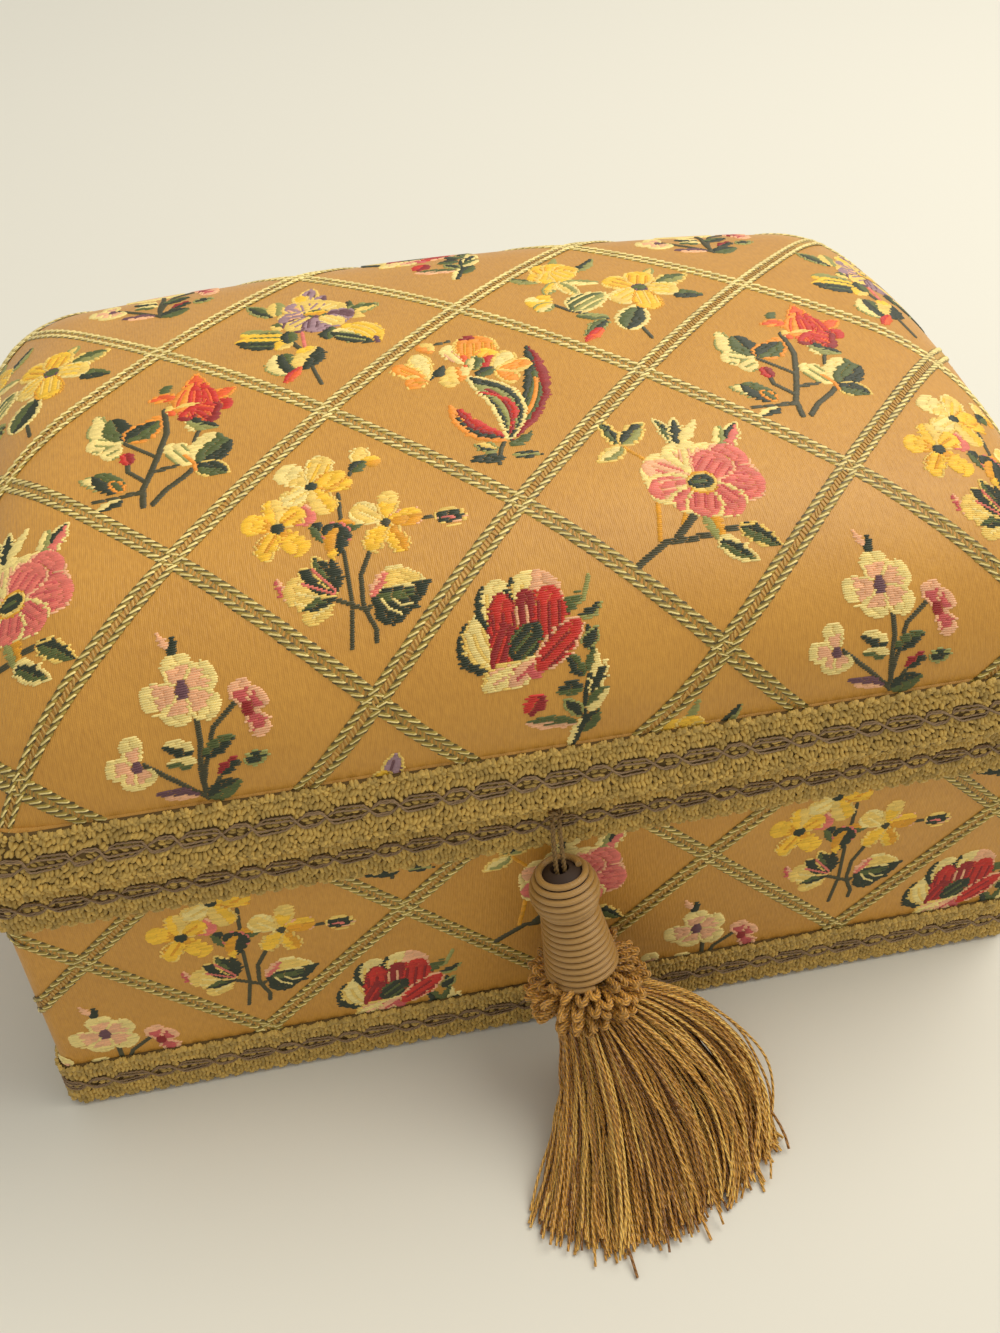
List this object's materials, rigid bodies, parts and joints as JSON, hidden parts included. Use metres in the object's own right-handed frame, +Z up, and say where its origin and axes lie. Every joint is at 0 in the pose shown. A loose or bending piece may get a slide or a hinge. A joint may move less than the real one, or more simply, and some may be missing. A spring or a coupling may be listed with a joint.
{
  "type": "padded keepsake box",
  "caption": "Keepsake box of cloth-covered boards with a padded domed lid on rear hinges, braid along its edges and a tassel hanging from the lid's front.",
  "frame": {"origin": "centre of the flat underside of the base, on the surface that the box stands on", "axes": "+X to the right along the front, +Y from the front to the hinged back, +Z up"},
  "size_m": [0.2656, 0.2553, 0.1483],
  "materials": {
    "board": "bare thin board",
    "hinge_brass": "polished, slightly dulled",
    "brocade": "satin ground with woven sprays and a corded trellis",
    "gimp_braid": "scroll gimp, matt yarn with fine cords",
    "lining_satin": "plain satin over card",
    "wadding": "felted wadding",
    "under_cloth": "plain woven cotton",
    "mould_wood": "turned and bare",
    "tassel_yarn": "lustrous twisted rayon yarn"
  },
  "bodies": {
    "base": {"base_front_board": "board", "base_back_board": "board", "base_left_board": "board", "base_right_board": "board", "base_floor_board": "board", "base_cover": "brocade", "base_under_cloth": "under_cloth", "base_top_braid": "gimp_braid", "base_bottom_braid": "gimp_braid", "lining_front": "lining_satin", "lining_back": "lining_satin", "lining_left": "lining_satin", "lining_right": "lining_satin", "lining_floor_pad": "lining_satin", "hinge_left_base_leaf": "hinge_brass", "hinge_right_base_leaf": "hinge_brass", "hinge_left_pin": "hinge_brass", "hinge_right_pin": "hinge_brass", "hinge_base_screws": "hinge_brass"},
    "lid": {"lid_front_rail": "board", "lid_back_rail": "board", "lid_left_rail": "board", "lid_right_rail": "board", "lid_board": "board", "lid_wadding": "wadding", "lid_cover": "brocade", "lid_braid": "gimp_braid", "lid_lining_band": "lining_satin", "lid_lining_pad": "lining_satin", "hinge_left_lid_leaf": "hinge_brass", "hinge_right_lid_leaf": "hinge_brass", "hinge_lid_screws": "hinge_brass"},
    "tassel_hanger": {"tassel_knot": "tassel_yarn"},
    "tassel": {"tassel_cord": "tassel_yarn", "tassel_mould": "mould_wood", "tassel_winding": "tassel_yarn", "tassel_ruff": "tassel_yarn", "tassel_skirt": "tassel_yarn"}
  },
  "joints": [
    {"name": "lid_hinge", "type": "hinge", "parent": "base", "child": "lid", "pos_m": [0, 0.0988, 0.08705], "axis": [-1, 0, 0], "range_deg": [0, 100]},
    {"name": "tassel_swing", "type": "hinge", "parent": "lid", "child": "tassel_hanger", "pos_m": [-0.002, -0.0963, 0.0851], "axis": [-1, 0, 0], "range_deg": [0, 90]},
    {"name": "tassel_sway", "type": "hinge", "parent": "tassel_hanger", "child": "tassel", "pos_m": [-0.002, -0.0963, 0.0851], "axis": [0, 1, 0], "range_deg": [-25, 25]}
  ]
}
